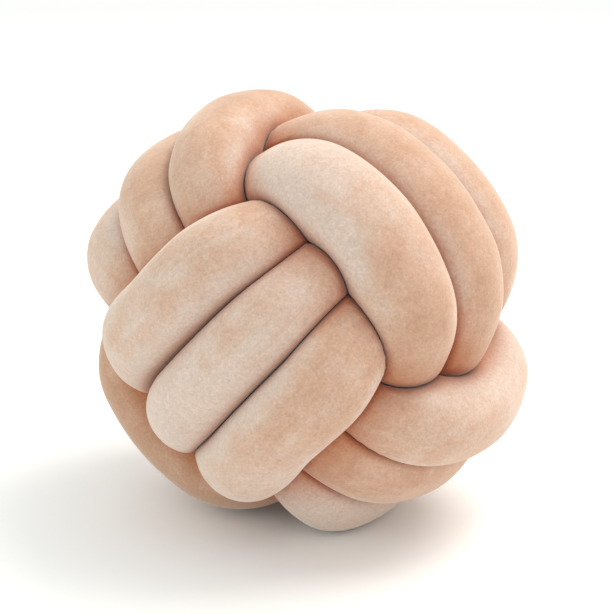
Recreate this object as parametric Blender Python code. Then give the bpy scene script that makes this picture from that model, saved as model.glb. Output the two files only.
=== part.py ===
"""A knot cushion: one long stuffed velvet tube, wound and drawn up into a ball.

The tube makes three coils of three turns each, in the order of a monkey's fist knot. Each coil
is square to the other two, passes over one of them and under the other, so the ball shows three
strands side by side on each of six faces. The tube's ends are sewn together inside the ball, so
it is one closed loop. Its section is round only where nothing touches it: wherever it meets
another strand the two press each other flat.

Sizes are in metres and angles in degrees. The knot is worked out about its own middle, on its
own axes, and is then turned and set down with a small flat spot at z = 0.
"""

import bpy
import numpy as np
from mathutils import Euler

# The ball and the tube's section
FACE_RADIUS = 0.147  # from the ball's middle to a strand's centreline, on a face
CREST_RISE = 0.029  # from the centreline out to the strand's crest
HALF_WIDTH = 0.0345  # half the tube's width where nothing squeezes it
BACK_DEPTH = 0.060  # from the centreline inwards, where there is room to swell

# The coils
STRAND_PITCH = 0.062  # between neighbouring strands on a face
INNER_PITCH = 0.039  # between the same strands where they pass under another coil
EDGE_PASS_DEPTH = 0.084  # from the ball's middle to the hidden passes of a coil's outer turns
MIDDLE_PASS_DEPTH = 0.105  # the same for its middle turn
DIVE_START, DIVE_END = 20.0, 72.5  # where a strand leaves its face, from the face's middle
GATHER_START, GATHER_END = 18.0, 53.5  # where the strands draw together to go under
FACE_END, FACE_FADE = 50.0, 30.0  # where the table of passes below loses its effect
STEP_HALF_ANGLE = 42.0  # a turn steps to the next one's place over twice this, out of sight
JOIN_ANGLE = 32.0  # how far past its hidden middle a coil starts, and short of it ends
JOIN_POINT = (0.022, -0.012, -0.040)  # on the tube's way from the first coil to the second
AXES_OF_COIL = {"first": (0, 1, 2), "second": (1, 2, 0), "third": (2, 0, 1)}  # long, short, stack

# Each strand lies a little differently. There is one row for each of the 18 passes over a face:
# coil, place in the coil, face (1 where the long axis is plus), and then in millimetres
# aside (along the stack), slant (more aside at 45 degrees on), lift (outwards), tip (more lift
# at 45 degrees on) and plump (added to the half width).
PASSES = (
    ("first", 1, 1, 0.5, 0.0, 0.0, 2.0, -1.5),
    ("first", 0, 1, 0.5, 4.5, -9.5, -0.5, -2.0),
    ("first", -1, 1, 2.0, 4.5, 1.0, 2.5, -0.5),
    ("first", 1, -1, 1.0, -1.5, 0.5, 0.0, 0.5),
    ("first", 0, -1, -1.5, 2.0, -3.0, 0.0, -0.5),
    ("first", -1, -1, 1.5, 1.0, 1.0, 0.0, 0.0),
    ("second", 1, 1, 10.5, -6.5, 3.5, 1.0, 2.5),
    ("second", 0, 1, 4.0, -4.0, -2.5, 0.0, 0.0),
    ("second", -1, 1, -2.0, 2.5, -0.5, -1.5, 1.0),
    ("second", 1, -1, -1.5, 0.5, 3.0, -1.0, -1.0),
    ("second", 0, -1, -1.0, 1.5, -2.5, 0.0, 0.0),
    ("second", -1, -1, -1.0, -1.0, 1.5, 0.0, 0.5),
    ("third", 1, 1, -4.5, 3.5, 5.0, 2.0, -2.0),
    ("third", 0, 1, -1.0, 5.0, 2.0, 2.5, -0.5),
    ("third", -1, 1, -2.5, 0.5, 7.0, -1.0, 1.5),
    ("third", 1, -1, -4.0, 2.0, 9.0, 3.0, -1.5),
    ("third", 0, -1, 2.0, 1.5, -1.0, 4.0, 1.0),
    ("third", -1, -1, 1.5, 1.0, 1.0, -1.0, -1.5),
)

# How strands squeeze each other
GIVE = 0.21  # a strand gives way by this share of its depth below the face radius
CONTACT_GAP = 0.004  # left between two strands that press on each other, for the flat facets
SHOULDER_SHARPNESS = 24.0  # higher makes a tighter crease beside a squeezed strand
BEND_ROOM = 0.9  # the share of a bend's radius that the tube's inner side may fill
OWN_LENGTH = 0.080  # a strand isn't squeezed by its own stretches nearer than this along it
LEAST_RADIUS = 0.006  # the tube is never squeezed closer to its centreline than this

# The centreline's points, and the solid's facets
COIL_POINTS = 900
JOIN_POINTS = 25  # on each half of a join
LINE_STEP = 0.004
SMOOTHING = 0.006  # over this length the centreline's bends are evened out
FACE_RING_STEP = 0.0145
HIDDEN_RING_STEP = 0.022
BEND_RING_STEP = 0.40  # as a share of the bend's radius
RING_SIDES = 12
SIDE_CROWDING = 0.35  # sets a ring's points closer together on the outside of the ball

# How the ball stands
KNOT_TURN = (45.1, 2.4, -116.8)  # the knot's axes are turned about X, then Y, then Z
MIDDLE_PLACE = (-0.0007, 0.0008, 0.1635)  # the height leaves a flat spot where the tube would be lower

# The velvet
VELVET_COLOUR = (0.72, 0.50, 0.38, 1.0)
VELVET_ROUGHNESS = 0.85


def smoothstep(x, start, end):
    """0 up to start, 1 from end on, and an even S-shaped rise between them."""
    u = np.clip((x - start) / (end - start), 0.0, 1.0)
    return u * u * (3.0 - 2.0 * u)


def unit(vectors):
    """The same directions, one long."""
    return vectors / np.linalg.norm(vectors, axis=-1, keepdims=True)


def coil_line(coil):
    """Three turns of one coil: their points on the knot's axes, and how plump each one is."""
    angle = np.linspace(-90.0 + JOIN_ANGLE, 990.0 - JOIN_ANGLE, COIL_POINTS)
    first_step = smoothstep(angle, 270.0 - STEP_HALF_ANGLE, 270.0 + STEP_HALF_ANGLE)
    second_step = smoothstep(angle, 630.0 - STEP_HALF_ANGLE, 630.0 + STEP_HALF_ANGLE)
    place = 1.0 - first_step - second_step
    along = (angle + 90.0) % 180.0 - 90.0  # 0 in the middle of a face
    off_face = np.abs(along)
    on_face = 1.0 - smoothstep(off_face, FACE_END, FACE_END + FACE_FADE)

    turn_place = 1 - (angle + 90.0) // 360.0
    face = np.where(np.cos(np.radians(angle)) > 0.0, 1, -1)
    aside, slant, lift, tip, plump = np.zeros((5, COIL_POINTS))
    for row_coil, row_place, row_face, *row_values in PASSES:
        here = (row_coil == coil) & (turn_place == row_place) & (face == row_face)
        values = np.array(row_values) / 1000.0
        aside[here], slant[here], lift[here], tip[here], plump[here] = values

    onward = along / 45.0
    across = place * STRAND_PITCH + (aside + slant * onward) * on_face
    face_reach = np.sqrt(FACE_RADIUS**2 - across**2) + (lift + tip * onward) * on_face
    hidden_reach = MIDDLE_PASS_DEPTH + (EDGE_PASS_DEPTH - MIDDLE_PASS_DEPTH) * np.abs(place)
    dive = smoothstep(off_face, DIVE_START, DIVE_END)
    reach = face_reach + (hidden_reach - face_reach) * dive
    gather = smoothstep(off_face, GATHER_START, GATHER_END)
    across = across - place * (STRAND_PITCH - INNER_PITCH) * gather

    long_axis, short_axis, stack_axis = AXES_OF_COIL[coil]
    points = np.zeros((COIL_POINTS, 3))
    points[:, long_axis] = reach * np.cos(np.radians(angle))
    points[:, short_axis] = reach * np.sin(np.radians(angle))
    points[:, stack_axis] = across
    return points, plump * on_face


def join_line(start, start_heading, middle, end, end_heading):
    """The hidden way from one coil to the next: two cubic curves that meet in the middle."""
    heading = unit(end - start)
    halves = ((start, start_heading, middle, heading), (middle, heading, end, end_heading))
    t = np.linspace(0.0, 1.0, JOIN_POINTS, endpoint=False)[:, None]
    points = []
    for p, p_heading, q, q_heading in halves:
        pull = np.linalg.norm(q - p)
        points.append(
            (2 * t**3 - 3 * t**2 + 1) * p
            + (t**3 - 2 * t**2 + t) * pull * p_heading
            + (3 * t**2 - 2 * t**3) * q
            + (t**3 - t**2) * pull * q_heading
        )
    return np.concatenate(points)[1:]


def smooth_loop(values):
    """Values along the closed line, each averaged with its neighbours by a bell curve."""
    reach = int(4 * SMOOTHING / LINE_STEP)
    steps = np.arange(-reach, reach + 1)
    weights = np.exp(-0.5 * (steps * LINE_STEP / SMOOTHING) ** 2)
    weights /= weights.sum()
    return sum(weight * np.roll(values, -step, axis=0) for weight, step in zip(weights, steps))


def whole_line():
    """The tube's closed centreline, evenly spaced: points, and the half width at each."""
    coils = [coil_line(coil) for coil in AXES_OF_COIL]
    points, plump = [], []
    for number, (coil_points, coil_plump) in enumerate(coils):
        following = coils[(number + 1) % 3][0]
        join = join_line(
            coil_points[-1],
            unit(coil_points[-1] - coil_points[-3]),
            np.roll(JOIN_POINT, number),
            following[0],
            unit(following[2] - following[0]),
        )
        points += [coil_points, join]
        plump += [coil_plump, np.zeros(len(join))]
    points = np.concatenate(points + [points[0][:1]])
    plump = np.concatenate(plump + [plump[0][:1]])

    run = np.append(0.0, np.cumsum(np.linalg.norm(np.diff(points, axis=0), axis=1)))
    count = round(run[-1] / LINE_STEP)
    even = np.linspace(0.0, run[-1], count, endpoint=False)
    points = np.stack([np.interp(even, run, points[:, axis]) for axis in range(3)], axis=1)
    return smooth_loop(points), HALF_WIDTH + smooth_loop(np.interp(even, run, plump))


def ring_places(points, bend):
    """Places of the rings along the line, closer together on the faces and in tight bends."""
    from_middle = np.linalg.norm(points, axis=1)
    hidden = 1.0 - smoothstep(from_middle, MIDDLE_PASS_DEPTH, FACE_RADIUS - CREST_RISE / 2)
    step = FACE_RING_STEP + (HIDDEN_RING_STEP - FACE_RING_STEP) * hidden
    step = np.minimum(step, BEND_RING_STEP / np.linalg.norm(bend, axis=1))
    rings_so_far = np.append(0.0, np.cumsum(LINE_STEP / smooth_loop(step)))
    count = round(rings_so_far[-1])
    wanted = np.linspace(0.0, rings_so_far[-1], count, endpoint=False)
    return np.interp(wanted, rings_so_far, np.arange(len(points) + 1))


def free_radii(turn, half_width):
    """The unsqueezed section: half an ellipse on the outside and a deeper half inside."""
    rise = np.where(np.cos(turn) > 0.0, CREST_RISE, BACK_DEPTH)
    return 1.0 / np.hypot(np.cos(turn) / rise, np.sin(turn) / half_width)


def ring_points(place, line, heading, bend, half_widths, firm):
    """One section of the tube: from its centre out to where something stops it each way.

    Between two strands of firmness a and b whose centrelines are d apart, the wall stands
    (d * d + a * a - b * b) / 2d from the first. So the wall cuts a ray that leaves the centre
    at the angle v from the direct way at that distance over the cosine of v.
    """
    index = int(place)
    following = (index + 1) % len(line)
    share = place - index
    centre, tangent, curve, half_width, own_firm = (
        values[index] + (values[following] - values[index]) * share
        for values in (line, heading, bend, half_widths, firm)
    )
    tangent = unit(tangent)
    outward = unit(centre - (centre @ tangent) * tangent)
    sideways = np.cross(tangent, outward)

    turn = np.linspace(0.0, 2.0 * np.pi, RING_SIDES, endpoint=False)
    turn = turn - SIDE_CROWDING * np.sin(turn)
    rays = np.outer(np.cos(turn), outward) + np.outer(np.sin(turn), sideways)

    apart = np.abs(np.arange(len(line)) - place)
    apart = np.minimum(apart, len(line) - apart) * LINE_STEP
    others = apart > OWN_LENGTH
    towards = line[others] - centre
    wall = (towards**2).sum(axis=1) + own_firm**2 - firm[others] ** 2
    facing = np.maximum(rays @ towards.T, 1e-6)
    contact = (wall / (2.0 * facing)).min(axis=1) - CONTACT_GAP / 2

    bend_limit = BEND_ROOM / np.maximum(rays @ curve, 1e-6)
    stop = np.maximum(np.minimum(contact, bend_limit), LEAST_RADIUS)
    free = free_radii(turn, half_width)
    sharpness = SHOULDER_SHARPNESS
    radii = (free**-sharpness + stop**-sharpness) ** (-1.0 / sharpness)
    return centre + radii[:, None] * rays


def tube_points():
    """All rings of the tube, on the knot's own axes, as rings x sides x 3."""
    line, half_widths = whole_line()
    ahead, behind = np.roll(line, -1, axis=0), np.roll(line, 1, axis=0)
    heading = unit(ahead - behind)
    bend = (ahead - 2.0 * line + behind) / LINE_STEP**2
    firm = half_widths - GIVE * (FACE_RADIUS - np.linalg.norm(line, axis=1))
    rings = [
        ring_points(place, line, heading, bend, half_widths, firm)
        for place in ring_places(line, bend)
    ]
    return np.array(rings)


def set_down(points):
    """The points turned and placed in the part's frame, pressed flat where they would go below."""
    turn = np.array(Euler(np.radians(KNOT_TURN), "XYZ").to_matrix())
    placed = points @ turn.T + np.array(MIDDLE_PLACE)
    placed[..., 2] = np.maximum(placed[..., 2], 0.0)
    return placed


def velvet():
    """The cover's material."""
    material = bpy.data.materials.new("velvet")
    material.use_nodes = True
    shader = material.node_tree.nodes["Principled BSDF"]
    shader.inputs["Base Color"].default_value = VELVET_COLOUR
    shader.inputs["Roughness"].default_value = VELVET_ROUGHNESS
    shader.inputs["Metallic"].default_value = 0.0
    return material


def knot_tube(collection):
    """The stuffed tube as one closed mesh: a loft through its unlike sections, end to start."""
    points = set_down(tube_points())
    rings, sides = points.shape[:2]
    ring, side = np.indices((rings, sides))
    next_ring, next_side = (ring + 1) % rings, (side + 1) % sides
    corners = ((ring, side), (ring, next_side), (next_ring, next_side), (next_ring, side))
    faces = np.stack([r * sides + s for r, s in corners], axis=-1).reshape(-1, 4)

    mesh = bpy.data.meshes.new("knot_tube")
    mesh.from_pydata(points.reshape(-1, 3).tolist(), [], faces.tolist())
    mesh.materials.append(velvet())
    mesh.shade_smooth()
    tube = bpy.data.objects.new("knot_tube", mesh)
    collection.objects.link(tube)
    return tube


def main():
    for old in list(bpy.data.objects):
        bpy.data.objects.remove(old)
    collection = bpy.data.collections.new("knot_cushion")
    bpy.context.scene.collection.children.link(collection)
    knot_tube(collection)


main()
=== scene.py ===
# %% [markdown]
# # A knot cushion in velvet
#
# This lesson dresses a ball-shaped cushion: one long stuffed tube of velvet, wound three turns
# one way, three turns across those and three turns across both, then drawn tight. Sailors know it
# as a monkey's fist. A imported solid model of it already exists, faceted and plain, and it fixes
# the size and the place. Here the same tube is worked out again on a fine grid, so that its skin
# can be smooth, plump and soft. First the imported model is loaded as the frame, and the size of
# its box is printed.

import math

import bpy
import numpy as np
from mathutils import Euler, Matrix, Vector


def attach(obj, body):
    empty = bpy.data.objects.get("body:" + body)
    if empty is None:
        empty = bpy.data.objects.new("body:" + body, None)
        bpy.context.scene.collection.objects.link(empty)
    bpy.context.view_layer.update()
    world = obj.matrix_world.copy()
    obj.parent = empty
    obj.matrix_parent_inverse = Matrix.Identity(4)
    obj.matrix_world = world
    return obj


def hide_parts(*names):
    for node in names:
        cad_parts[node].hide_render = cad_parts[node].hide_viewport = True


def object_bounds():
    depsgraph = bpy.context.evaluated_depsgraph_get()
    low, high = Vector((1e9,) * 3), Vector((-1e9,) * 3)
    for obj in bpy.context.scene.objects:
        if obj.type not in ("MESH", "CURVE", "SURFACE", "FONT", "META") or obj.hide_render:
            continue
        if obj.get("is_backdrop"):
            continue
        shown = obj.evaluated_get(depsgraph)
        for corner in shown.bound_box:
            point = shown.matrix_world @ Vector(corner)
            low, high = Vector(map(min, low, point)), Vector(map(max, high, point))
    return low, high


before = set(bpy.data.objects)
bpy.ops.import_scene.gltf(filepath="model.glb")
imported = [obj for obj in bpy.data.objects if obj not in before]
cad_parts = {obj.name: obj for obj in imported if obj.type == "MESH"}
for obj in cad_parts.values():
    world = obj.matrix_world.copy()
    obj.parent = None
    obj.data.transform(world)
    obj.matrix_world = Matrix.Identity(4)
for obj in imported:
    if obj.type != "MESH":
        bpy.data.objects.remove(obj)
solid_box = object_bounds()
solid_size = np.array(solid_box[1]) - np.array(solid_box[0])
print("solid model:", np.round(solid_size * 1000, 1), "mm")

# %% [markdown]
# ## The sizes
#
# A knot like this could be drawn by hand as one long curve, but nobody places 7 m of tube well
# by eye. It is easier to say how the maker winds it. Each turn runs over a face of the ball,
# dives under the neighbouring coil, crosses inside and comes up on the opposite face. A few
# sizes say where: how far the turns stand from the ball's middle, how far apart they lie, and
# at which angle they dive. All of them are in metres or degrees. These sizes pull on each
# other, so they were found together, by a numeric fit of a coarse model, and then rounded.

# %% The winding's sizes
FACE_RADIUS = 0.147  # from the ball's middle to a strand's centreline, on a face
STRAND_PITCH = 0.062  # between neighbouring strands on a face
INNER_PITCH = 0.039  # between the same strands where they pass under another coil
EDGE_PASS_DEPTH = 0.084  # from the middle to the hidden passes of a coil's outer turns
MIDDLE_PASS_DEPTH = 0.105  # the same for its middle turn
DIVE_START, DIVE_END = 20.0, 72.5  # where a strand leaves its face, from the face's middle
GATHER_START, GATHER_END = 18.0, 53.5  # where the strands draw together to go under
FACE_END, FACE_FADE = 50.0, 30.0  # where the table of passes loses its effect
STEP_HALF_ANGLE = 42.0  # a turn steps to the next one's place over twice this, out of sight
JOIN_ANGLE = 32.0  # how far past its hidden middle a coil starts, and short of it ends
JOIN_POINT = (0.022, -0.012, -0.040)  # on the tube's way from the first coil to the second
AXES_OF_COIL = {"first": (0, 1, 2), "second": (1, 2, 0), "third": (2, 0, 1)}

# No two strands lie quite alike. One row for each pass over a face: coil, place in the coil,
# face, and in millimetres aside, slant (more aside at 45 degrees on), lift, tip (more lift at 45
# degrees on) and plump (added to the half width). Thirteen rows came out of the same fit and were
# rounded to half a millimetre. The last three of the first coil and the last two of the second
# were chosen one by one.
PASSES = (
    ("first", 1, 1, 0.5, 0.0, 0.0, 2.0, -1.5),
    ("first", 0, 1, 0.5, 4.5, -9.5, -0.5, -2.0),
    ("first", -1, 1, 2.0, 4.5, 1.0, 2.5, -0.5),
    ("first", 1, -1, 1.0, -1.5, 0.5, 0.0, 0.5),
    ("first", 0, -1, -1.5, 2.0, -3.0, 0.0, -0.5),
    ("first", -1, -1, 1.5, 1.0, 1.0, 0.0, 0.0),
    ("second", 1, 1, 10.5, -6.5, 3.5, 1.0, 2.5),
    ("second", 0, 1, 4.0, -4.0, -2.5, 0.0, 0.0),
    ("second", -1, 1, -2.0, 2.5, -0.5, -1.5, 1.0),
    ("second", 1, -1, -1.5, 0.5, 3.0, -1.0, -1.0),
    ("second", 0, -1, -1.0, 1.5, -2.5, 0.0, 0.0),
    ("second", -1, -1, -1.0, -1.0, 1.5, 0.0, 0.5),
    ("third", 1, 1, -4.5, 3.5, 5.0, 2.0, -2.0),
    ("third", 0, 1, -1.0, 5.0, 2.0, 2.5, -0.5),
    ("third", -1, 1, -2.5, 0.5, 7.0, -1.0, 1.5),
    ("third", 1, -1, -4.0, 2.0, 9.0, 3.0, -1.5),
    ("third", 0, -1, 2.0, 1.5, -1.0, 4.0, 1.0),
    ("third", -1, -1, 1.5, 1.0, 1.0, -1.0, -1.5),
)
print(len(PASSES), "passes over the ball's six faces")

# %% [markdown]
# ## How hands have left the pile, with painted light and shade on whole strands
#
# Velvet keeps every touch. Where a hand went with the pile it lies flat and looks deep, and where
# it went against the pile it stands up and looks pale, often along a whole strand. That could be
# painted on the finished skin, but a strand is easier to name than to find again, so the strokes
# are a table beside the one above and travel along the line with the width. The same table also
# paints light and shade on whole strands: a strand that gets more light is made paler, and one in
# shade darker.

# %% The stroked strands, with painted light and shade
# The pile is raised and paler (1) or laid down and darker (-1), both for its stroke and as
# painted light and shade. One row for each pass that isn't even: coil, place, face, and the
# stroke before and after the pass's middle.
STROKES_AND_SHADE = (
    ("first", 1, 1, 0.9, 0.2),
    ("first", 0, 1, 1.4, 0.5),
    ("first", -1, 1, 1.0, -0.3),
    ("second", 1, 1, -1.0, 1.6),
    ("second", 0, 1, -0.6, 0.2),
    ("second", 1, -1, -1.5, -1.5),
    ("third", 1, 1, -1.4, 0.2),
    ("third", 0, 1, -0.8, 0.0),
    ("third", -1, 1, 0.2, 0.4),
    ("third", 1, -1, 0.0, 0.8),
    ("third", 0, -1, -0.4, 0.0),
    ("third", -1, -1, 1.2, 1.2),
)
print(len(STROKES_AND_SHADE), "passes with stroked pile")

# %% [markdown]
# ## Where on a coil a point lies
#
# A coil is followed by one angle that grows through all three of its turns. It begins where the
# tube comes out of the core, a little past the middle of a hidden pass, and from there on each
# full turn crosses two faces. So the angle alone tells the turn and the face, and with them the
# rows of the tables that count. Keeping three separate turns would need a join after each.

# %% Rows for the points of a coil
COIL_POINTS = 900
HIDDEN_MIDDLE = -90.0  # the angle at the middle of a hidden pass, and again after each full turn
FULL_TURN = 360.0


def hand_set(table, coil, angle):
    """The values of the row for each point's pass, and 0 where there is none.

    The turn's place is 1 - the whole turns since the first hidden middle, and the face is 1
    where the cosine of the angle is above 0, or else -1.
    """
    place = 1 - (angle - HIDDEN_MIDDLE) // FULL_TURN
    face = np.where(np.cos(np.radians(angle)) > 0.0, 1, -1)
    values = np.zeros((len(table[0]) - 3, len(angle)))
    for row_coil, row_place, row_face, *row_values in table:
        here = (row_coil == coil) & (place == row_place) & (face == row_face)
        values[:, here] = np.array(row_values)[:, None]
    return values


last_hidden_middle = HIDDEN_MIDDLE + 3 * FULL_TURN
coil_angle = np.linspace(HIDDEN_MIDDLE + JOIN_ANGLE, last_hidden_middle - JOIN_ANGLE, COIL_POINTS)
print("a coil runs from", coil_angle[0], "to", coil_angle[-1], "degrees")

# %% [markdown]
# ## One coil as a curve
#
# A coil is three turns of a flat, rounded oblong. In polar form a turn is just a distance from
# the ball's middle for every angle: long where it lies on a face, short where it hides under
# the next coil, with an S-shaped step between them. The smoothstep below is that S. It also
# shifts a turn into the next one's place and draws the strands together where they go under.

# %% The coil's line
HALF_FACE = 45.0


def smoothstep(x, start, end):
    """u = (x - start) / (end - start), kept between 0 and 1, and then 3 u squared - 2 u cubed."""
    u = np.clip((x - start) / (end - start), 0.0, 1.0)
    return u * u * (3.0 - 2.0 * u)


def step_at(angle, middle):
    """From 0 to 1 over the step's two halves before and after its middle."""
    return smoothstep(angle, middle - STEP_HALF_ANGLE, middle + STEP_HALF_ANGLE)


def coil_line(coil, angle):
    """Three turns: (reach cos angle, reach sin angle, across) on the coil's own three axes.

    reach = face reach + (hidden reach - face reach) * smoothstep(angle off the face), where
    the face reach is that of a sphere, the root of face radius squared - across squared.
    """
    first_step = step_at(angle, HIDDEN_MIDDLE + FULL_TURN)
    second_step = step_at(angle, HIDDEN_MIDDLE + 2 * FULL_TURN)
    place = 1.0 - first_step - second_step
    along = (angle + 90.0) % 180.0 - 90.0
    onward = along / HALF_FACE
    off_face = np.abs(along)
    on_face = 1.0 - smoothstep(off_face, FACE_END, FACE_END + FACE_FADE)
    aside, slant, lift, tip, plump = hand_set(PASSES, coil, angle) / 1000.0
    # The listed stroke of the pile, which also holds painted light and shade on the strand.
    before, after = hand_set(STROKES_AND_SHADE, coil, angle)
    stroke_and_shade = (before + after + (after - before) * onward) / 2.0

    across = place * STRAND_PITCH + (aside + slant * onward) * on_face
    face_reach = np.sqrt(FACE_RADIUS**2 - across**2) + (lift + tip * onward) * on_face
    hidden_reach = MIDDLE_PASS_DEPTH + (EDGE_PASS_DEPTH - MIDDLE_PASS_DEPTH) * np.abs(place)
    reach = face_reach + (hidden_reach - face_reach) * smoothstep(off_face, DIVE_START, DIVE_END)
    gather = smoothstep(off_face, GATHER_START, GATHER_END)
    across = across - place * (STRAND_PITCH - INNER_PITCH) * gather

    long_axis, short_axis, stack_axis = AXES_OF_COIL[coil]
    points = np.zeros((len(angle), 3))
    points[:, long_axis] = reach * np.cos(np.radians(angle))
    points[:, short_axis] = reach * np.sin(np.radians(angle))
    points[:, stack_axis] = across
    return points, plump * on_face, stroke_and_shade * on_face


coils = [coil_line(coil, coil_angle) for coil in AXES_OF_COIL]
print("three coils of", COIL_POINTS, "points")

# %% [markdown]
# ## One tube from three coils
#
# The cushion is a single tube, so the end of each coil runs on through the core to the start of
# the next, and the last runs back to the first. Nobody sees these joins, but a tube that really
# closes needs no caps. A cubic Hermite curve is the plain way to join two ends that already have
# a heading, while a straight line would leave a corner at each end.

# %% Joining the coils
JOIN_POINTS = 25  # on each half of a join


def unit(vectors):
    """Each vector over its own length."""
    return vectors / np.linalg.norm(vectors, axis=-1, keepdims=True)


def join_line(start, start_heading, middle, end, end_heading):
    """Two cubics that meet in the middle: with t from 0 to 1, and the pull the chord's length,
    (2t3 - 3t2 + 1) p + (t3 - 2t2 + t) pull p' + (3t2 - 2t3) q + (t3 - t2) pull q'.
    """
    heading = unit(end - start)
    halves = ((start, start_heading, middle, heading), (middle, heading, end, end_heading))
    t = np.linspace(0.0, 1.0, JOIN_POINTS, endpoint=False)[:, None]
    points = []
    for p, p_heading, q, q_heading in halves:
        pull = np.linalg.norm(q - p)
        points.append(
            (2 * t**3 - 3 * t**2 + 1) * p
            + (t**3 - 2 * t**2 + t) * pull * p_heading
            + (3 * t**2 - 2 * t**3) * q
            + (t**3 - t**2) * pull * q_heading
        )
    return np.concatenate(points)[1:]


points, plump, stroke_and_shade = [], [], []
for number, (coil_points, coil_plump, coil_stroke_and_shade) in enumerate(coils):
    following = coils[(number + 1) % 3][0]
    join = join_line(
        coil_points[-1],
        unit(coil_points[-1] - coil_points[-3]),
        np.roll(JOIN_POINT, number),
        following[0],
        unit(following[2] - following[0]),
    )
    points += [coil_points, join]
    plump += [coil_plump, np.zeros(len(join))]
    stroke_and_shade += [coil_stroke_and_shade, np.zeros(len(join))]
points = np.concatenate(points + [points[0][:1]])
plump = np.concatenate(plump + [plump[0][:1]])
stroke_and_shade = np.concatenate(stroke_and_shade + [stroke_and_shade[0][:1]])
print("one closed line through", len(points) - 1, "points")

# %% [markdown]
# ## Even steps and soft bends
#
# The joined line is cut into even steps, and a bell curve rounds off its bends, as a stuffed tube
# can't turn a sharp corner. A spline through fewer points would round them too, but it overshoots
# beside a bend, and an average never does. The width and the stroke of the pile, with its painted
# light and shade, are cut and averaged in the same way, so they stay with their strand.

# %% The whole line
LINE_STEP = 0.004
SMOOTHING = 0.006


def smooth_loop(values, width, step):
    """Each value averaged with its neighbours, weighted by exp(-distance squared / 2 width
    squared), on a closed line."""
    reach = int(4 * width / step)
    steps = np.arange(-reach, reach + 1)
    weights = np.exp(-0.5 * (steps * step / width) ** 2)
    weights /= weights.sum()
    return sum(weight * np.roll(values, -shift, axis=0) for weight, shift in zip(weights, steps))


run = np.append(0.0, np.cumsum(np.linalg.norm(np.diff(points, axis=0), axis=1)))
line_count = round(run[-1] / LINE_STEP)
even = np.linspace(0.0, run[-1], line_count, endpoint=False)
line = np.stack([np.interp(even, run, points[:, axis]) for axis in range(3)], axis=1)
line = smooth_loop(line, SMOOTHING, LINE_STEP)
plump = smooth_loop(np.interp(even, run, plump), SMOOTHING, LINE_STEP)
stroke_and_shade = smooth_loop(np.interp(even, run, stroke_and_shade), SMOOTHING, LINE_STEP)
print("the tube is", round(run[-1], 2), "m long, as", line_count, "points")

# %% [markdown]
# ## Setting the ball down
#
# The winding was worked out on the knot's own axes. Now it is turned and set on the floor, and
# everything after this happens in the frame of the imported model. The middle stands a little
# lower than the ball's radius, because a soft ball flattens where it rests.

# %% The ball in its place
KNOT_TURN = (45.1, 2.4, -116.8)  # about X, then Y, then Z
MIDDLE_PLACE = (-0.0007, 0.0008, 0.1635)

middle = np.array(MIDDLE_PLACE)
turn_matrix = np.array(Euler(np.radians(KNOT_TURN), "XYZ").to_matrix())
line = line @ turn_matrix.T + middle
print("lowest point of the line:", round(line[:, 2].min() * 1000, 1), "mm above the floor")

# %% [markdown]
# ## Where the rings go
#
# The skin is a grid: rings along the tube, and points round each ring. A curve object with a
# bevel would make a round tube in one step, but real strands press each other flat, so every
# ring here gets its own shape. Rings stand close on the faces and further apart where nobody
# looks.

# %% The rings
FACE_RING_STEP = 0.0036
HIDDEN_RING_STEP = 0.0075
HIDDEN_REACH, FACE_REACH = 0.095, 0.125  # centrelines that nobody sees, and those on a face

from_middle = np.linalg.norm(line - middle, axis=1)
hidden = 1.0 - smoothstep(from_middle, HIDDEN_REACH, FACE_REACH)
ring_step = FACE_RING_STEP + (HIDDEN_RING_STEP - FACE_RING_STEP) * hidden
rings_so_far = np.append(0.0, np.cumsum(LINE_STEP / ring_step))
ring_count = round(rings_so_far[-1])
wanted = np.linspace(0.0, rings_so_far[-1], ring_count, endpoint=False)
places = np.interp(wanted, rings_so_far, np.arange(line_count + 1))
print(ring_count, "rings on", line_count, "points of the line")

# %% [markdown]
# ## Rays from the centreline
#
# A ring is made of rays that leave the tube's centre square to it. The first ray points away
# from the ball's middle, so a strand's crest is always at the same side of the grid and the
# ring never twists, as it would if each one were turned on from the ring before. The rays crowd
# towards the outside of the ball, where the tube is seen.

# %% The rays
RING_SIDES = 56
SIDE_CROWDING = 0.45  # 0 would spread a ring's points evenly


def at_places(values):
    """Values of the line's points at the rings, linear between neighbouring points."""
    closed = np.concatenate([values, values[:1]])
    index = places.astype(int)
    share = (places - index).reshape((-1,) + (1,) * (values.ndim - 1))
    return closed[index] * (1.0 - share) + closed[index + 1] * share


ahead, behind = np.roll(line, -1, axis=0), np.roll(line, 1, axis=0)
centre = at_places(line)
tangent = unit(at_places(ahead - behind))
curve = at_places((ahead - 2.0 * line + behind) / LINE_STEP**2)
outward = centre - middle
outward = unit(outward - (outward * tangent).sum(axis=1, keepdims=True) * tangent)
sideways = np.cross(tangent, outward)

turn = np.linspace(0.0, 2.0 * np.pi, RING_SIDES, endpoint=False)
turn = turn - SIDE_CROWDING * np.sin(turn)
rays = (
    np.cos(turn)[None, :, None] * outward[:, None, :]
    + np.sin(turn)[None, :, None] * sideways[:, None, :]
)
print(ring_count, "rings of", RING_SIDES, "rays")

# %% [markdown]
# ## How strands press on each other
#
# Two stuffed tubes that press together share a flat wall. If their half widths are a and b and
# their centrelines are d apart, the wall stands (d2 + a2 - b2) / 2d from the first. A ray that
# leaves the centre at an angle v from the straight way meets it at that distance over cos v.
# Each ray stops at the nearest of all such walls. A strand that dives under another one gives
# way to it, so the half widths used here shrink with the depth in the ball. The floor is one
# more wall, and so is the tube's own inner side in a bend. The usual way to stuff a cushion is
# a cloth simulation with pressure. Here it would have 7 m of tube press on itself all over, and
# it wasn't tried: the walls take a few seconds and come out the same on every run.

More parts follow.
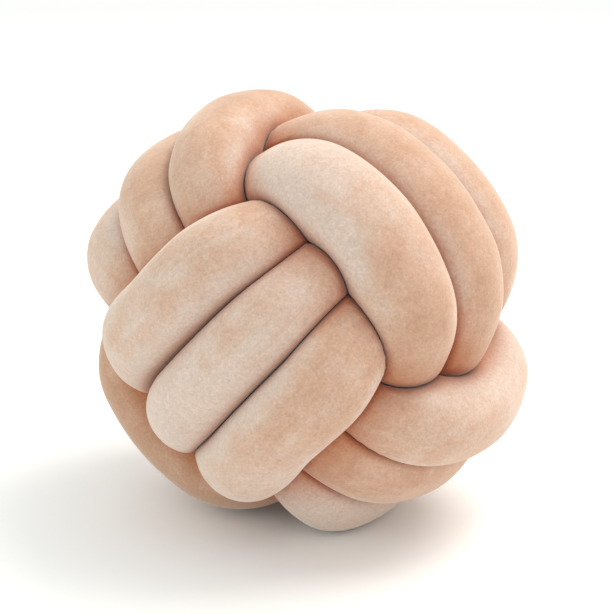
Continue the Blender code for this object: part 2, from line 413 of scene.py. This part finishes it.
# %% The walls round every ring
HALF_WIDTH = 0.0345
CONTACT_GAP = 0.0004
BEND_ROOM = 0.9  # how much of the way to the bend's centre the inner side may fill
OWN_LENGTH = 0.080  # nearer than this along the tube, it doesn't press on itself
LEAST_RADIUS = 0.006
GIVE = 0.21  # the share of its depth below the face radius by which a strand gives way
RINGS_AT_ONCE = 60  # keeps the arrays small
NO_WALL = 1.0  # far outside the ball
NEARLY_ZERO = 1e-6  # instead of a 0 that would be divided by

half_width = HALF_WIDTH + plump
firmness = half_width - GIVE * (FACE_RADIUS - from_middle)
line_place = np.arange(line_count)


def nearest_walls(first, last):
    """For rings first to last: the least of (d2 + a2 - b2) / (2 ray . way) over the line's
    points, leaving out those nearer along the tube than OWN_LENGTH."""
    own = at_places(firmness)[first:last, None]
    way = line[None, :, :] - centre[first:last, None, :]
    apart = np.abs(line_place[None, :] - places[first:last, None])
    apart = np.minimum(apart, line_count - apart) * LINE_STEP
    wall = (way**2).sum(axis=2) + own**2 - firmness[None, :] ** 2
    wall = np.where(apart > OWN_LENGTH, wall, NO_WALL)
    facing = np.einsum("rsx,rlx->rsl", rays[first:last], way)
    return (wall[:, None, :] / (2.0 * np.maximum(facing, NEARLY_ZERO))).min(axis=2)


blocks = range(0, ring_count, RINGS_AT_ONCE)
contact = np.concatenate([nearest_walls(first, first + RINGS_AT_ONCE) for first in blocks])
contact = contact - CONTACT_GAP / 2
bend_side = np.einsum("rsx,rx->rs", rays, curve)
bend_limit = BEND_ROOM / np.maximum(bend_side, NEARLY_ZERO)
floor_wall = centre[:, None, 2] / np.maximum(-rays[..., 2], NEARLY_ZERO)
stop = np.maximum(np.minimum(contact, bend_limit), LEAST_RADIUS)
stop = np.minimum(stop, floor_wall)
print("nearest wall:", round(contact.min() * 1000, 1), "mm from a centreline")

# %% [markdown]
# ## The free section and its shoulders
#
# Where nothing touches the tube its section is round on the outside and deeper inside, where
# the filling swells into the gaps of the core. The radius of each ray then blends the free
# section with the walls. Taking the smaller of the two would leave a hard edge, so the two are
# added as high powers instead: it stays close to the smaller one and rounds the shoulder.

# %% The section
CREST_RISE = 0.029  # from the centreline out to the crest
BACK_DEPTH = 0.060  # and in towards the ball's middle
SHOULDER_SHARPNESS = 24.0

rise = np.where(np.cos(turn) > 0.0, CREST_RISE, BACK_DEPTH)
own_width = at_places(half_width)[:, None]
free = 1.0 / np.hypot(np.cos(turn) / rise, np.sin(turn) / own_width)
radius = (free**-SHOULDER_SHARPNESS + stop**-SHOULDER_SHARPNESS) ** (-1.0 / SHOULDER_SHARPNESS)
skin = centre[:, None, :] + radius[..., None] * rays
print("radii from", round(radius.min() * 1000, 1), "to", round(radius.max() * 1000, 1), "mm")

# %% [markdown]
# ## Filling that is never quite even
#
# A stuffed tube isn't a clean shape: the filling gathers in soft lumps, and where the tube is
# bent hard the cover puckers on the inside of the bend. Painting this by hand in sculpt mode
# would work too, but a sum of waves in many directions gives lumps with no direction of their
# own, and it is the same on every run because its directions come from a seeded generator.
# The lumps fade out at the walls, so strands that touch go on touching.

# %% Lumps and puckers
LUMP_HEIGHT = 0.00035
LUMP_WIDTHS = (0.035, 0.080)  # the shortest and the longest wave
LUMP_WAVES = 48
PUCKER_HEIGHT = 0.0003
PUCKER_WIDTH = 0.011
PUCKER_START, PUCKER_FULL = 9.0, 20.0  # the bend's curvature, one over metres
WALL_NEAR, WALL_FAR = -0.004, 0.010  # from the free section out to a wall
generator = np.random.default_rng(7)


def lumps(where):
    """The sum of cos(wave vector . place + phase) over the waves, over the root of half their
    number."""
    headings = unit(generator.normal(size=(LUMP_WAVES, 3)))
    widths = generator.uniform(*LUMP_WIDTHS, size=(LUMP_WAVES, 1))
    phases = generator.uniform(0.0, 2.0 * np.pi, size=LUMP_WAVES)
    waves = where @ (2.0 * np.pi * headings / widths).T + phases
    return np.cos(waves).sum(axis=-1) / math.sqrt(LUMP_WAVES / 2)


clear_of_walls = smoothstep(stop - free, WALL_NEAR, WALL_FAR)
along_tube = places * LINE_STEP
puckers = np.cos(2.0 * np.pi * along_tube / PUCKER_WIDTH)[:, None]
puckers = puckers * smoothstep(bend_side, PUCKER_START, PUCKER_FULL)
relief = (LUMP_HEIGHT * lumps(skin) + PUCKER_HEIGHT * puckers) * clear_of_walls
skin = skin + relief[..., None] * rays
skin[..., 2] = np.maximum(skin[..., 2], 0.0)
print("relief from", round(relief.min() * 1000, 1), "to", round(relief.max() * 1000, 1), "mm")

# %% [markdown]
# ## The grid becomes a mesh
#
# Both ways round the grid close on themselves, so the mesh is one closed skin with no seam and
# no pole: ring i and side j meet ring i + 1 and side j + 1, counted round. foreach_set hands
# whole arrays to Blender, which is far quicker than adding faces one by one. The mesh also gets
# a UV map in metres, along the tube and round it, for the strokes in the pile.

# %% The skin's mesh
ROUND_LENGTH = 0.2  # about one way round the tube


def grid_mesh(name, grid, along):
    """A closed grid of quads: corner (i, j), (i, j + 1), (i + 1, j + 1), (i + 1, j)."""
    rings, sides = grid.shape[:2]
    ring, side = np.indices((rings, sides))
    corners = ((ring, side), (ring, side + 1), (ring + 1, side + 1), (ring + 1, side))
    faces = np.stack([(r % rings) * sides + s % sides for r, s in corners], axis=-1)
    mesh = bpy.data.meshes.new(name)
    mesh.vertices.add(rings * sides)
    mesh.vertices.foreach_set("co", grid.reshape(-1).astype(np.float32))
    mesh.loops.add(faces.size)
    mesh.loops.foreach_set("vertex_index", faces.reshape(-1).astype(np.int32))
    mesh.polygons.add(faces.size // 4)
    mesh.polygons.foreach_set("loop_start", np.arange(0, faces.size, 4, dtype=np.int32))
    mesh.update(calc_edges=True)
    mesh.shade_smooth()
    unwound = np.append(along, along[-1] + LINE_STEP)
    uv = np.stack([(unwound[r], s * ROUND_LENGTH / sides) for r, s in corners], axis=-1)
    uv_map = mesh.uv_layers.new(name="along_and_round")
    uv_map.uv.foreach_set("vector", uv.transpose(1, 2, 3, 0).reshape(-1).astype(np.float32))
    piece = bpy.data.objects.new(name, mesh)
    bpy.context.scene.collection.objects.link(piece)
    return piece


velvet_tube = grid_mesh("velvet_tube", skin, along_tube)
print("velvet tube:", 2 * len(velvet_tube.data.polygons), "triangles")

# %% [markdown]
# ## What the velvet has to know
#
# Four numbers are painted on the points of the mesh: how deep a point lies in the ball, how far
# round from the crest it is, how near it is to a wall and how the pile is stroked there. The
# material turns the first and the third into painted shade in the creases, the second into a
# painted sheen on the flanks, and the fourth into the stroke of the pile together with painted
# light and shade on whole strands. The first three follow from the shape, so the creases get
# their painted shade on every side of the ball, while a picture mapped on the skin would have to
# be painted again after each change of shape. Where two strands lie side by side the crease is
# open to the light, so less of the painted shade at the wall is kept there than where a strand
# dives under another.

# %% Four painted numbers
CREASE_REACH, OPEN_REACH = 0.140, 0.164  # from the ball's middle to the crease and to open pile
FLANK_START, FLANK_END = 35.0, 75.0  # from the crest, round the tube
WALL_SHADE_FULL, WALL_SHADE_END = 0.001, 0.007  # from a wall to where its painted shade is full and to where it ends
UNDER_REACH, OVER_REACH = 0.120, 0.145  # centrelines of strands that are under or on top
WALL_SHADE_ON_TOP = 0.3  # the share of it that strands on top keep


def paint(piece, name, values):
    """One number for each point of the mesh, kept with it for the material to read."""
    attribute = piece.data.attributes.new(name, "FLOAT", "POINT")
    attribute.data.foreach_set("value", values.reshape(-1).astype(np.float32))
    print(name, "has the mean", round(float(values.mean()), 2))


skin_reach = np.linalg.norm(skin - middle, axis=2)
# Painted shade where the skin lies low in the ball.
paint(velvet_tube, "depth", 1.0 - smoothstep(skin_reach, CREASE_REACH, OPEN_REACH))
from_crest = np.degrees(np.abs((turn + np.pi) % (2.0 * np.pi) - np.pi))
# Painted sheen: the flanks of every strand, away from the crest, are made paler.
flank_sheen = smoothstep(from_crest, FLANK_START, FLANK_END)
paint(velvet_tube, "flank_sheen", np.broadcast_to(flank_sheen, skin_reach.shape))
under = 1.0 - smoothstep(at_places(from_middle), UNDER_REACH, OVER_REACH)
# Painted shade near the walls between strands, strongest under a strand that dives.
wall_shade = 1.0 - smoothstep(stop - radius, WALL_SHADE_FULL, WALL_SHADE_END)
wall_shade = wall_shade * (WALL_SHADE_ON_TOP + (1.0 - WALL_SHADE_ON_TOP) * under[:, None])
paint(velvet_tube, "wall_shade", wall_shade)
# The stroke of the pile, with painted light and shade on whole strands.
paint(velvet_tube, "stroke_and_shade", np.broadcast_to(at_places(stroke_and_shade)[:, None], skin_reach.shape))

# %% [markdown]
# ## Noise in the pile
#
# Velvet is a dense short pile on a thin ground. Real hair strands would show how it lies, but
# millions of them are too heavy for one cushion, so noise stands in for them at four sizes:
# patches as wide as a finger, long strokes that follow the tube, a fine mottle and the grain of
# the pile itself. The strokes live on the UV map, so they bend with the strand. The others live
# on the object's own coordinates, so they have no seam anywhere.

# %% Four kinds of noise
PATCH_SCALE = 42.0  # waves to the metre
STROKE_SCALE = 9.0
MOTTLE_SCALE = 250.0
GRAIN_SCALE = 600.0
STROKE_SLIMNESS = 4.0  # how many times as long as wide

velvet = bpy.data.materials.new("velvet")
velvet.use_nodes = True
nodes, links = velvet.node_tree.nodes, velvet.node_tree.links
shader = nodes["Principled BSDF"]


def noise(scale, detail, coordinates, distortion=0.0):
    """Perlin noise from 0 to 1, scale waves to the metre, each octave half the one before."""
    node = nodes.new("ShaderNodeTexNoise")
    node.inputs["Scale"].default_value = scale
    node.inputs["Detail"].default_value = detail
    node.inputs["Distortion"].default_value = distortion
    links.new(coordinates, node.inputs["Vector"])
    return node.outputs["Fac"]


place_on_piece = nodes.new("ShaderNodeTexCoord")
stretched = nodes.new("ShaderNodeMapping")
stretched.inputs["Scale"].default_value = (1.0, STROKE_SLIMNESS, 1.0)
links.new(place_on_piece.outputs["UV"], stretched.inputs["Vector"])

patches = noise(PATCH_SCALE, 3.0, place_on_piece.outputs["Object"], distortion=0.4)
strokes = noise(STROKE_SCALE, 4.0, stretched.outputs["Vector"], distortion=0.6)
mottle = noise(MOTTLE_SCALE, 4.0, place_on_piece.outputs["Object"])
grain = noise(GRAIN_SCALE, 3.0, place_on_piece.outputs["Object"])
print("noise from", round(100 / GRAIN_SCALE, 2), "to", round(100 / STROKE_SCALE, 1), "cm wide")

# %% [markdown]
# ## The lean of the pile, with painted sheen and shade
#
# Every touch leaves a patch where the pile leans another way. So one number is the lean of the
# pile, and the patches, the strokes, a painted sheen that makes a strand's flanks paler and the
# listed stroke of the strand, which also carries painted light and shade, are added up to it.
# Each could have a tint of its own, but then four mixes would fight, while in a sum they help or
# cancel each other as they do in real pile.

# %% The lean
STROKES_IN_LEAN = 0.6
FLANK_SHEEN_IN_LEAN = 0.35
STROKE_AND_SHADE_IN_LEAN = 0.5


def sum_of(first, second, second_share):
    """first + second_share * (second - 0.5)."""
    node = nodes.new("ShaderNodeMath")
    node.operation = "MULTIPLY_ADD"
    links.new(second, node.inputs[0])
    node.inputs[1].default_value = second_share
    shift = nodes.new("ShaderNodeMath")
    shift.operation = "SUBTRACT"
    links.new(first, shift.inputs[0])
    shift.inputs[1].default_value = second_share / 2
    links.new(shift.outputs[0], node.inputs[2])
    return node.outputs[0]


def painted_number(name):
    """The painted number of that name, for each place on the skin."""
    node = nodes.new("ShaderNodeAttribute")
    node.attribute_name = name
    return node.outputs["Fac"]


def plus_painted(name, value, most):
    """value + most * (painted value)."""
    node = nodes.new("ShaderNodeMath")
    node.operation = "MULTIPLY_ADD"
    links.new(painted_number(name), node.inputs[0])
    node.inputs[1].default_value = most
    links.new(value, node.inputs[2])
    return node.outputs[0]


lean_and_painted_light = sum_of(patches, strokes, STROKES_IN_LEAN)
# Painted sheen on the flanks.
lean_and_painted_light = plus_painted("flank_sheen", lean_and_painted_light, FLANK_SHEEN_IN_LEAN)
# Painted light and shade on whole strands, with the stroke of the pile.
lean_and_painted_light = plus_painted("stroke_and_shade", lean_and_painted_light, STROKE_AND_SHADE_IN_LEAN)
print("the lean takes", len(nodes), "nodes")

# %% [markdown]
# ## Three tints
#
# Pile that lies flat shows its sides and is deep and warm, and raised pile shows its tips and is
# pale. A ramp turns the lean into a laid, an even or a raised tint. The raised tint also serves
# as painted sheen on the flanks and painted light on lit strands, and the laid tint as painted
# shade on strands in shade. Mixing a light and a dark material would do the same, but one ramp
# keeps the tints side by side, easy to compare.

# %% The tints of the pile
# Laid pile, and also the painted shade on strands in shade.
LAID_PILE_AND_SHADE = (0.465, 0.262, 0.167, 1.0)
EVEN_PILE = (0.55, 0.348, 0.25, 1.0)
# Raised pile, and also the painted sheen and painted light.
RAISED_PILE_AND_LIGHT = (0.60, 0.46, 0.386, 1.0)
PILE_TINTS = ((0.0, LAID_PILE_AND_SHADE), (0.5, EVEN_PILE), (1.0, RAISED_PILE_AND_LIGHT))


def tint_ramp(factor, tints):
    """A colour between tints, each (position, colour), by straight steps."""
    node = nodes.new("ShaderNodeValToRGB")
    ramp = node.color_ramp
    ramp.elements[0].position, ramp.elements[0].color = tints[0]
    ramp.elements[1].position, ramp.elements[1].color = tints[-1]
    for position, colour in tints[1:-1]:
        ramp.elements.new(position).color = colour
    links.new(factor, node.inputs["Fac"])
    return node.outputs["Color"]


pile_with_painted_light = tint_ramp(lean_and_painted_light, PILE_TINTS)
print(len(PILE_TINTS), "tints of pile")

# %% [markdown]
# ## Painted crease shade, mottle and grain
#
# Light that comes back out of a crease has met the cloth several times and is a deeper orange,
# and pile at a wall between two strands lies in shade. Both are painted in as shade by the
# painted numbers: a deep orange where the skin lies low in the ball, and a dark brown near a
# wall. The renderer's own bounces do part of this already, and the painted shade deepens it. The
# fine mottle and the grain only change the brightness, because the hairs are all dyed alike.

# %% The colour of the velvet, with painted shade in the creases
# Painted shade: a deep orange low in the ball, and a dark brown at the walls between strands.
DEEP_SHADE = (0.43, 0.13, 0.04, 1.0)
CREASE_SHADE = (0.31, 0.045, 0.006, 1.0)
MOST_DEEP_SHADE = 0.8
MOST_WALL_SHADE = 0.75
MOTTLE_CONTRAST = 0.34
GRAIN_CONTRAST = 0.5


def tinted_by(name, colour, tint, most):
    """colour + most * (painted value) * (tint - colour)."""
    share = nodes.new("ShaderNodeMath")
    share.operation = "MULTIPLY"
    share.inputs[1].default_value = most
    links.new(painted_number(name), share.inputs[0])
    mix = nodes.new("ShaderNodeMixRGB")
    mix.inputs["Color2"].default_value = tint
    links.new(share.outputs[0], mix.inputs["Fac"])
    links.new(colour, mix.inputs["Color1"])
    return mix.outputs["Color"]


def shaded_by(colour, factor, most):
    """colour * (1 + most * (factor - 0.5))."""
    node = nodes.new("ShaderNodeMath")
    node.operation = "MULTIPLY_ADD"
    links.new(factor, node.inputs[0])
    node.inputs[1].default_value = most
    node.inputs[2].default_value = 1.0 - most / 2
    mix = nodes.new("ShaderNodeMixRGB")
    mix.blend_type = "MULTIPLY"
    mix.inputs["Fac"].default_value = 1.0
    links.new(colour, mix.inputs["Color1"])
    links.new(node.outputs[0], mix.inputs["Color2"])
    return mix.outputs["Color"]


# Painted shade in the creases and at the walls.
pile_with_painted_light = tinted_by("depth", pile_with_painted_light, DEEP_SHADE, MOST_DEEP_SHADE)
pile_with_painted_light = tinted_by("wall_shade", pile_with_painted_light, CREASE_SHADE, MOST_WALL_SHADE)
pile_with_painted_light = shaded_by(pile_with_painted_light, mottle, MOTTLE_CONTRAST)
pile_with_painted_light = shaded_by(pile_with_painted_light, grain, GRAIN_CONTRAST)
links.new(pile_with_painted_light, shader.inputs["Base Color"])
print("velvet's colour:", len(nodes), "nodes so far")

# %% [markdown]
# ## Velvet's touch
#
# Looked at from above the hairs swallow light and the colour is warm and deep, while at a slant
# their tips catch it and the edge turns pale. The sheen of the Principled shader does that from
# any side. Its weight, roughness and tint are the same all over and are set straight on the
# shader. The grain of the pile is finer than any mesh should be, so it is bump.

# %% The velvet's sheen and grain
PILE_ROUGHNESS = 0.95
PILE_SPECULAR = 0.1  # hairs hardly mirror anything
SHEEN_WEIGHT = 0.5
SHEEN_ROUGHNESS = 0.5
SHEEN_TINT = (1.0, 0.92, 0.82, 1.0)
GRAIN_HEIGHT = 0.0005
GRAIN_STRENGTH = 0.35

bump = nodes.new("ShaderNodeBump")
bump.inputs["Strength"].default_value = GRAIN_STRENGTH
bump.inputs["Distance"].default_value = GRAIN_HEIGHT
links.new(grain, bump.inputs["Height"])
links.new(bump.outputs["Normal"], shader.inputs["Normal"])
shader.inputs["Roughness"].default_value = PILE_ROUGHNESS
shader.inputs["Specular IOR Level"].default_value = PILE_SPECULAR
shader.inputs["Sheen Weight"].default_value = SHEEN_WEIGHT
shader.inputs["Sheen Roughness"].default_value = SHEEN_ROUGHNESS
shader.inputs["Sheen Tint"].default_value = SHEEN_TINT
velvet_tube.data.materials.append(velvet)
print("velvet:", len(nodes), "nodes")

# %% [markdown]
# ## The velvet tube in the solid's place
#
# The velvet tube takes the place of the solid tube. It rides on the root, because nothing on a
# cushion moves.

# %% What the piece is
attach(velvet_tube, "root")
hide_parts("knot_tube")

# %% [markdown]
# ## The room
#
# A plain pale floor, a white room and one large soft window are all that a product needs. The
# floor is a hair darker than the room, because it also gets the light of the lamps. It throws
# light back up on the lowest strands.

# %% The floor
FLOOR_CORNERS = ((-3, -3, 0), (3, -3, 0), (3, 3, 0), (-3, 3, 0))
FLOOR_COLOUR = (0.95, 0.95, 0.95, 1.0)
FLOOR_ROUGHNESS = 0.8

floor_mesh = bpy.data.meshes.new("floor")
floor_mesh.from_pydata(FLOOR_CORNERS, [], [(0, 1, 2, 3)])
floor = bpy.data.objects.new("floor", floor_mesh)
bpy.context.scene.collection.objects.link(floor)
pale = bpy.data.materials.new("pale_floor")
pale.use_nodes = True
pale_shader = pale.node_tree.nodes["Principled BSDF"]
pale_shader.inputs["Base Color"].default_value = FLOOR_COLOUR
pale_shader.inputs["Roughness"].default_value = FLOOR_ROUGHNESS
floor_mesh.materials.append(pale)
floor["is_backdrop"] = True
print("floor laid at z = 0")

# %% [markdown]
# ## Light
#
# The world is an even white surround like a light tent, and gives most of the light, so the
# creases stay readable. A large area lamp high on the right and a little behind is the window,
# and makes the upper right strands round, bright and a little warmer. A small cool lamp low on
# the left takes the heaviest shade off the lower left strands.

# %% The lights
ROOM_COLOUR = (0.98, 1.0, 0.98, 1.0)
ROOM_STRENGTH = 1.0

world = bpy.data.worlds.new("soft_room")
bpy.context.scene.world = world
world.use_nodes = True
background = world.node_tree.nodes["Background"]
background.inputs["Color"].default_value = ROOM_COLOUR
background.inputs["Strength"].default_value = ROOM_STRENGTH


def soft_light(name, place, size, power, colour):
    """A square lamp, size metres wide and power watts strong, aimed at the ball's middle."""
    lamp = bpy.data.lights.new(name, "AREA")
    lamp.shape = "SQUARE"
    lamp.size = size
    lamp.energy = power
    lamp.color = colour
    holder = bpy.data.objects.new(name, lamp)
    holder.location = place
    way = Vector(MIDDLE_PLACE) - Vector(place)
    holder.rotation_euler = way.to_track_quat("-Z", "Y").to_euler()
    bpy.context.scene.collection.objects.link(holder)
    print(name, "stands", round(way.length, 2), "m from the ball")


soft_light("window", place=(0.9, 0.3, 1.7), size=1.2, power=25.5, colour=(1.0, 0.94, 0.87))
soft_light("fill", place=(-1.6, -0.65, 0.38), size=0.7, power=4.5, colour=(0.6, 0.95, 1.0))

# %% [markdown]
# ## Camera
#
# A long lens from over a metre away keeps the ball round. The camera stands level with azimuth
# 0, looks along +Y and a little down, and its aim is a hair beside the ball's middle. The view
# transform stays plain, so that the room is white.

# %% The camera
CAMERA_RISE = 18.0  # above level, in degrees
CAMERA_DISTANCE = 1.375
LENS, SENSOR_WIDTH = 101.5, 36.0  # in millimetres
AIM_OFFSET = (-0.0007, 0.0, 0.0018)

camera_data = bpy.data.cameras.new("camera")
camera_data.sensor_width = SENSOR_WIDTH
camera_data.lens = LENS
camera = bpy.data.objects.new("camera", camera_data)
aim = Vector(MIDDLE_PLACE) + Vector(AIM_OFFSET)
rise_angle = math.radians(CAMERA_RISE)
back_and_up = Vector((0.0, -math.cos(rise_angle), math.sin(rise_angle)))
camera.location = aim + CAMERA_DISTANCE * back_and_up
camera.rotation_euler = (aim - camera.location).to_track_quat("-Z", "Y").to_euler()
bpy.context.scene.collection.objects.link(camera)
bpy.context.scene.camera = camera
bpy.context.scene.view_settings.view_transform = "Standard"
print("camera at", [round(x, 3) for x in camera.location])

# %% [markdown]
# ## Sizes
#
# The dressed cushion's size is printed, to set beside the solid's. The dressed cushion
# has to keep the solid's size.

# %% The dressed box
dressed_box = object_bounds()
dressed_size = np.array(dressed_box[1]) - np.array(dressed_box[0])
print("dressed model:", np.round(dressed_size * 1000, 1), "mm")
